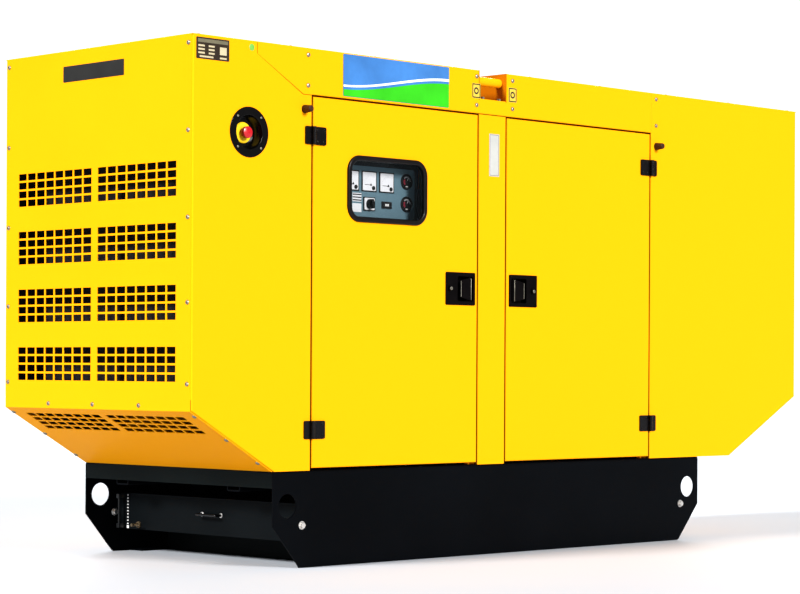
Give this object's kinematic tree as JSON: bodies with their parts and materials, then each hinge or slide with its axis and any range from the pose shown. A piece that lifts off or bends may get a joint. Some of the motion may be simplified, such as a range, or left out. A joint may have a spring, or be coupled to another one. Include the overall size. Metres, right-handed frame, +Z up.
{
  "type": "canopied diesel generator",
  "caption": "Canopied standby generating set: sheet-steel sound enclosure with slotted ends and hinged side doors, on a base frame with a built-in fuel tank.",
  "frame": {"origin": "middle of the footprint, on the ground", "axes": "+X along the length towards the outlet end, +Z up, the control side faces -Y"},
  "size_m": [3.364, 1.118, 1.8],
  "materials": {
    "canopy_paint": "satin powder coat",
    "base_paint": "satin black powder coat",
    "tank_paint": "satin black",
    "zinc_steel": "zinc plated",
    "foam": "matt acoustic foam",
    "rubber": "matt black rubber",
    "window_glass": "clear",
    "hinge_black": "satin black",
    "latch_black": "satin black",
    "dish_plastic": "black moulded plastic",
    "collar_plastic": "yellow",
    "button_plastic": "red",
    "panel_paint": "grey-blue",
    "instrument_plastic": "black",
    "machine_paint": "grey enamel",
    "engine_iron": "grey enamel",
    "fan_plastic": "black",
    "radiator_paint": "matt black",
    "aluminised_steel": "dull"
  },
  "bodies": {
    "enclosure": {"near_end_panel": "canopy_paint", "near_slope_panel": "canopy_paint", "far_end_panel": "canopy_paint", "far_slope_panel": "canopy_paint", "front_near_panel": "canopy_paint", "front_far_panel": "canopy_paint", "front_fascia": "canopy_paint", "front_post": "canopy_paint", "rear_near_panel": "canopy_paint", "rear_far_panel": "canopy_paint", "rear_fascia": "canopy_paint", "rear_post": "canopy_paint", "rear_doors": "canopy_paint", "roof_panel": "canopy_paint", "lifting_points": "canopy_paint", "base_side_front": "base_paint", "base_side_rear": "base_paint", "base_beams": "base_paint", "tank_handle": "base_paint", "chassis_rails": "base_paint", "control_box": "base_paint", "fuel_tank": "tank_paint", "tank_fittings": "zinc_steel", "wall_linings": "foam", "air_baffles": "foam", "door_buffers": "rubber", "rubber_mounts": "rubber", "fixed_hinge_leaves": "hinge_black", "rear_door_fittings": "hinge_black", "stop_dish": "dish_plastic", "stop_collar": "collar_plastic", "instrument_panel": "panel_paint", "panel_instruments": "instrument_plastic", "alternator": "machine_paint", "engine_block": "engine_iron", "cylinder_head": "engine_iron", "cooling_fan": "fan_plastic", "radiator": "radiator_paint", "exhaust_silencer": "aluminised_steel"},
    "left_door": {"left_door": "canopy_paint", "left_door_lining": "foam", "window_seal": "rubber", "window_pane": "window_glass", "left_hinge_leaves": "hinge_black", "left_latch_case": "latch_black"},
    "left_latch": {"left_latch_paddle": "latch_black"},
    "right_door": {"right_door": "canopy_paint", "right_door_lining": "foam", "right_hinge_leaves": "hinge_black", "right_latch_case": "latch_black"},
    "right_latch": {"right_latch_paddle": "latch_black"},
    "stop_button": {"stop_button": "button_plastic"}
  },
  "joints": [
    {"name": "left_door_hinge", "type": "hinge", "parent": "enclosure", "child": "left_door", "pos_m": [-1.1395, -0.532, 1.498], "axis": [0, 0, -1], "range_deg": [0, 130]},
    {"name": "right_door_hinge", "type": "hinge", "parent": "enclosure", "child": "right_door", "pos_m": [0.7015, -0.532, 1.498], "axis": [0, 0, 1], "range_deg": [0, 130]},
    {"name": "left_latch_pivot", "type": "hinge", "parent": "left_door", "child": "left_latch", "pos_m": [-0.3435, -0.521, 0.986], "axis": [0, 0, 1], "range_deg": [0, 35], "stiffness_Nm_per_rad": 0.8},
    {"name": "right_latch_pivot", "type": "hinge", "parent": "right_door", "child": "right_latch", "pos_m": [-0.1065, -0.521, 0.986], "axis": [0, 0, -1], "range_deg": [0, 35], "stiffness_Nm_per_rad": 0.8},
    {"name": "stop_button_push", "type": "slide", "parent": "enclosure", "child": "stop_button", "axis": [0, 1, 0], "range_m": [0, 0.006]}
  ]
}
